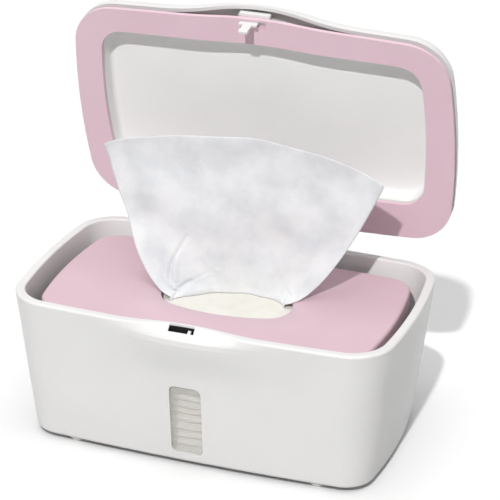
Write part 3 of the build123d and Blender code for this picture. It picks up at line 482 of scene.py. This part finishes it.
@dataclass
class PulledWipe:
    """The wipe that stands out of the hole: gathered at the rear of the hole, and open in a wide fan."""

    base_left: Vec = (-31.5, -8.0, 72.9)
    base_right: Vec = (31.0, 8.0, 72.9)
    base_bow: float = 16.0
    top_left: Vec = (-81.0, 17.0, 150.8)
    top_right: Vec = (84.0, 20.0, 150.0)
    crown: float = 15.0
    spread: float = 0.6  # how early the sides open: 1 is straight
    thickness: float = 0.45
    lift: float = 0.5  # how far its middle lies above the plate
    columns: int = 170
    rows: int = 120
    creases: Tuple[Crease, ...] = (
        Crease((0.02, 0.02), (0.25, 0.36), 3.4, 0.011),
        Crease((0.05, 0.03), (0.36, 0.14), 3.2, 0.010),
        Crease((0.12, 0.10), (0.20, 0.30), -1.6, 0.012),
        Crease((0.03, 0.04), (0.09, 0.22), 2.2, 0.009),
        Crease((0.22, 0.09), (0.42, 0.16), -1.4, 0.014),
        Crease((0.97, 0.03), (0.86, 0.09), 2.4, 0.010),
    )
    funnel: Funnel = Funnel()

    def point(self, across: float, up: float) -> Vec:
        """Places a point of the sheet, in millimetres.

        Args:
            across: 0 at the left edge and 1 at the right.
            up: 0 at the hole and 1 at the free edge.

        Returns:
            The point.
        """
        low = [a + (b - a) * across for a, b in zip(self.base_left, self.base_right)]
        low[1] += self.base_bow * math.sin(math.pi * across) ** 0.7
        high = [a + (b - a) * across for a, b in zip(self.top_left, self.top_right)]
        arch = 1 - (2 * across - 1) ** 2
        high[2] += self.crown * arch ** 0.8
        open_out = max(up - 0.03, 0.0) ** self.spread
        x = low[0] + (high[0] - low[0]) * open_out
        y = low[1] + (high[1] - low[1]) * smooth(0.15 + 0.85 * up)
        z = low[2] + (high[2] - low[2]) * up
        # Pleats run up the fan and open out, a broad roll turns its face, and the rest is damp rumpling.
        phase = across * math.tau * 3.6 + 0.8 + 0.9 * math.sin(up * 2.3)
        pleat = math.sin(phase) * (0.5 + 1.6 * up * (1 - up))
        roll = math.sin(across * math.tau * 1.3 + 2.2 + up) * 2.2 * up
        wander = noise.noise(Vector((across * 4, up * 3, 0.0))) * 4.0 * smooth(up * 1.6)
        rumple = noise.noise(Vector((across * 9, up * 5, 4.0))) * 1.1 * smooth(up * 6)
        hem = -0.7 * smooth((across - 0.978) / 0.008)
        y += pleat + roll + wander + rumple + hem + sum(crease.push(across, up) for crease in self.creases)
        return (x, y, max(z, self.funnel.height(x, y) + self.lift))

    def build(self) -> bpy.types.Object:
        """Returns:
            The finished piece.
        """
        shape = bmesh.new()
        bmesh.ops.create_grid(shape, x_segments=self.columns, y_segments=self.rows, size=0.5)
        for vert in shape.verts:
            vert.co = Vector(self.point(vert.co.x + 0.5, vert.co.y + 0.5)) * MM
        piece = place_mesh("pulled_wipe_cloth", shape, Cloth.WIPE.value.build())
        thick = piece.modifiers.new("cloth", "SOLIDIFY")
        thick.thickness = self.thickness * MM
        thick.offset = 0.0
        apply_modifiers(piece)
        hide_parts("pulled_wipe")
        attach(piece, "plate")
        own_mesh(piece)
        return piece


@dataclass
class WipePack:
    """The folded wipes under the plate, one soft layer on another."""

    half_x: float = 90.0
    half_y: float = 47.0
    corner: float = 9.0
    layers: int = 14
    low: float = 5.8
    high: float = 72.7
    columns: int = 90
    rows: int = 24
    wave: float = 1.5  # how far the layers' seams wander up and down
    seam_gap: float = 0.02  # left open on each side of a seam

    def seam(self, x: float, y: float, level: float) -> float:
        """Gives the height of the seam between two layers, in millimetres.

        Args:
            x: Place to the right.
            y: Place to the back.
            level: The seam's own height.

        Returns:
            The height at that place. The lowest and the highest stay flat.
        """
        free = smooth((level - self.low) / 6) * smooth((self.high - level) / 6)
        slow = noise.noise(Vector((x / 19, y / 30, level / 9)))
        quick = noise.noise(Vector((x / 6, y / 12, level / 4 + 7)))
        return level + self.wave * free * (1.5 * slow + 0.45 * quick)

    def layer(self, shape: bmesh.types.BMesh, z0: float, z1: float) -> None:
        """Adds one folded layer, a shell whose edge is rounded.

        Args:
            shape: The bmesh that it is added to.
            z0: The layer's underside.
            z1: The layer's top.
        """
        made = bmesh.ops.create_grid(shape, x_segments=self.columns, y_segments=self.rows, size=1.0)
        lower = made["verts"]
        faces = list({face for vert in lower for face in vert.link_faces})
        grown = bmesh.ops.extrude_face_region(shape, geom=faces)
        upper = [part for part in grown["geom"] if isinstance(part, bmesh.types.BMVert)]
        for verts, top in ((lower, 0.0), (upper, 1.0)):
            for vert in verts:
                u, v = vert.co.x, vert.co.y
                edge = smooth((abs(u) - 0.75) / 0.25) * smooth((abs(v) - 0.55) / 0.45)
                x = u * self.half_x - math.copysign(self.corner * 0.3 * edge, u)
                y = v * self.half_y - math.copysign(self.corner * 0.3 * edge, v)
                rim = max(abs(u), abs(v))
                thin = 0.8 * smooth((rim - 0.94) / 0.06)
                low, high = self.seam(x, y, z0), self.seam(x, y, z1)
                share = top + (0.5 - top) * thin
                vert.co = Vector((x, y, low + (high - low) * share)) * MM

    def build(self) -> bpy.types.Object:
        """Makes the pack.

        Returns:
            The finished piece.
        """
        shape = bmesh.new()
        pitch = (self.high - self.low) / self.layers
        for index in range(self.layers):
            z0, z1 = self.low + index * pitch, self.low + (index + 1) * pitch
            self.layer(shape, z0 + self.seam_gap, z1 - self.seam_gap)
        bmesh.ops.recalc_face_normals(shape, faces=shape.faces)
        piece = place_mesh("folded_wipes", shape, Cloth.PACK.value.build())
        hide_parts("wipe_stack", "top_wipe")
        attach(piece, "tub")
        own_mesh(piece)
        return piece


# Studio

@dataclass(frozen=True)
class Lamp:
    """A far lamp: where its light comes from, how strong it is, how wide it looks and what it lights."""

    name: str
    source: Vec
    strength: float
    width: float  # degrees
    lights_floor: Optional[bool] = None  # True for the floor alone, False for all but the floor

    def build(self, floor: bpy.types.Object) -> bpy.types.Object:
        """Makes the lamp.

        Args:
            floor: The studio's floor.

        Returns:
            The lamp object.
        """
        data = bpy.data.lights.new(self.name, "SUN")
        data.energy = self.strength
        data.angle = math.radians(self.width)
        lamp = bpy.data.objects.new(self.name, data)
        bpy.context.scene.collection.objects.link(lamp)
        lamp.rotation_euler = Vector(self.source).to_track_quat("Z", "Y").to_euler()
        if self.lights_floor is not None:
            chosen = bpy.data.collections.new(self.name + "_set")
            chosen.objects.link(floor)
            state = "INCLUDE" if self.lights_floor else "EXCLUDE"
            chosen.collection_objects[0].light_linking.link_state = state
            lamp.light_linking.receiver_collection = chosen
        return lamp


@dataclass
class Studio:
    """The pale floor, the lamps and the camera.

    The object and the floor have a key lamp each, at different angles, because no single one gives both the
    short shadow in the lid's dish and the long one on the floor.
    """

    azimuth: float = 19.05
    elevation: float = 24.85
    roll: float = 0.734
    distance: float = 1119.99
    target: Vec = (13.2, 0.0, 108.605)
    lens: float = 147.57
    sensor: float = 36.0
    sky_strength: float = 0.28
    floor_colour: str = "#FDFDFD"
    floor_bounce: str = "#C4C4C4"  # the floor's colour for the light that it sends on to the object
    lamps: Tuple[Lamp, ...] = (
        Lamp("key_lamp", (0.05, -1.08, 0.92), 2.2, 1.5, lights_floor=False),
        Lamp("key_lamp_on_floor", (0.09, -0.78, 1.0), 1.6, 2.0, lights_floor=True),
        Lamp("ceiling_softbox", (0.0, 0.08, 1.0), 1.15, 48.0),
    )

    def camera(self) -> bpy.types.Object:
        """Makes the camera where the photograph was taken from.

        Returns:
            The camera object.
        """
        az, el, roll = (math.radians(v) for v in (self.azimuth, self.elevation, self.roll))
        back = Vector((math.sin(az) * math.cos(el), -math.cos(az) * math.cos(el), math.sin(el)))
        right = Vector((0, 0, 1)).cross(back).normalized()
        up = back.cross(right)
        level = right * math.cos(roll) + up * math.sin(roll)
        upright = up * math.cos(roll) - right * math.sin(roll)
        turn = Matrix((level, upright, back)).transposed().to_4x4()
        data = bpy.data.cameras.new("photo_camera")
        data.lens = self.lens
        data.sensor_width = self.sensor
        data.sensor_height = self.sensor
        data.sensor_fit = "HORIZONTAL"
        data.clip_start = 0.01
        data.clip_end = 20.0
        camera = bpy.data.objects.new("photo_camera", data)
        bpy.context.scene.collection.objects.link(camera)
        camera.matrix_world = Matrix.Translation((Vector(self.target) + back * self.distance) * MM) @ turn
        bpy.context.scene.camera = camera
        return camera

    def floor(self) -> bpy.types.Object:
        """Makes the pale floor.

        Returns:
            The floor object.
        """
        shape = bmesh.new()
        bmesh.ops.create_grid(shape, x_segments=1, y_segments=1, size=6.0)
        material = bpy.data.materials.new("studio_floor_white_paper")
        nodes = NodeTree(material)
        # White paper sends up enough light to wash out the lid's dish, so what it sends on is greyer.
        grey = nodes.add("BsdfDiffuse", sockets={"Color": linear(self.floor_bounce)})
        white = nodes.add("BsdfDiffuse", sockets={"Color": linear(self.floor_colour)})
        nodes.backdrop(grey.outputs["BSDF"], white.outputs["BSDF"])
        floor = place_mesh("studio_floor", shape, material, smooth_faces=False)
        return floor

    def sky(self) -> None:
        """Surrounds the object with an even pale sky that shows as white."""
        world = bpy.data.worlds.new("studio_sky")
        bpy.context.scene.world = world
        nodes = NodeTree(world, "OutputWorld")
        colour = linear("#FFFFFF")
        fill = nodes.add("Background", sockets={"Color": colour, "Strength": self.sky_strength})
        white = nodes.add("Background", sockets={"Color": colour, "Strength": 1.0})
        nodes.backdrop(fill.outputs["Background"], white.outputs["Background"])


def main() -> None:
    """Builds the scene in order and reports each piece."""
    logging.basicConfig(level=logging.INFO, format="%(name)s: %(message)s")
    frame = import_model()
    LOG.info("dressed %d solids", Casing().dress(frame["nodes"]))
    for maker in (PulledWipe(), WipePack()):
        piece = maker.build()
        LOG.info("built %s with %d faces", piece.name, len(piece.data.polygons))
    studio = Studio()
    floor = studio.floor()
    studio.sky()
    for lamp in studio.lamps:
        lamp.build(floor)
    studio.camera()
    bpy.context.scene.view_settings.view_transform = "Standard"


if __name__ == "__main__":
    main()
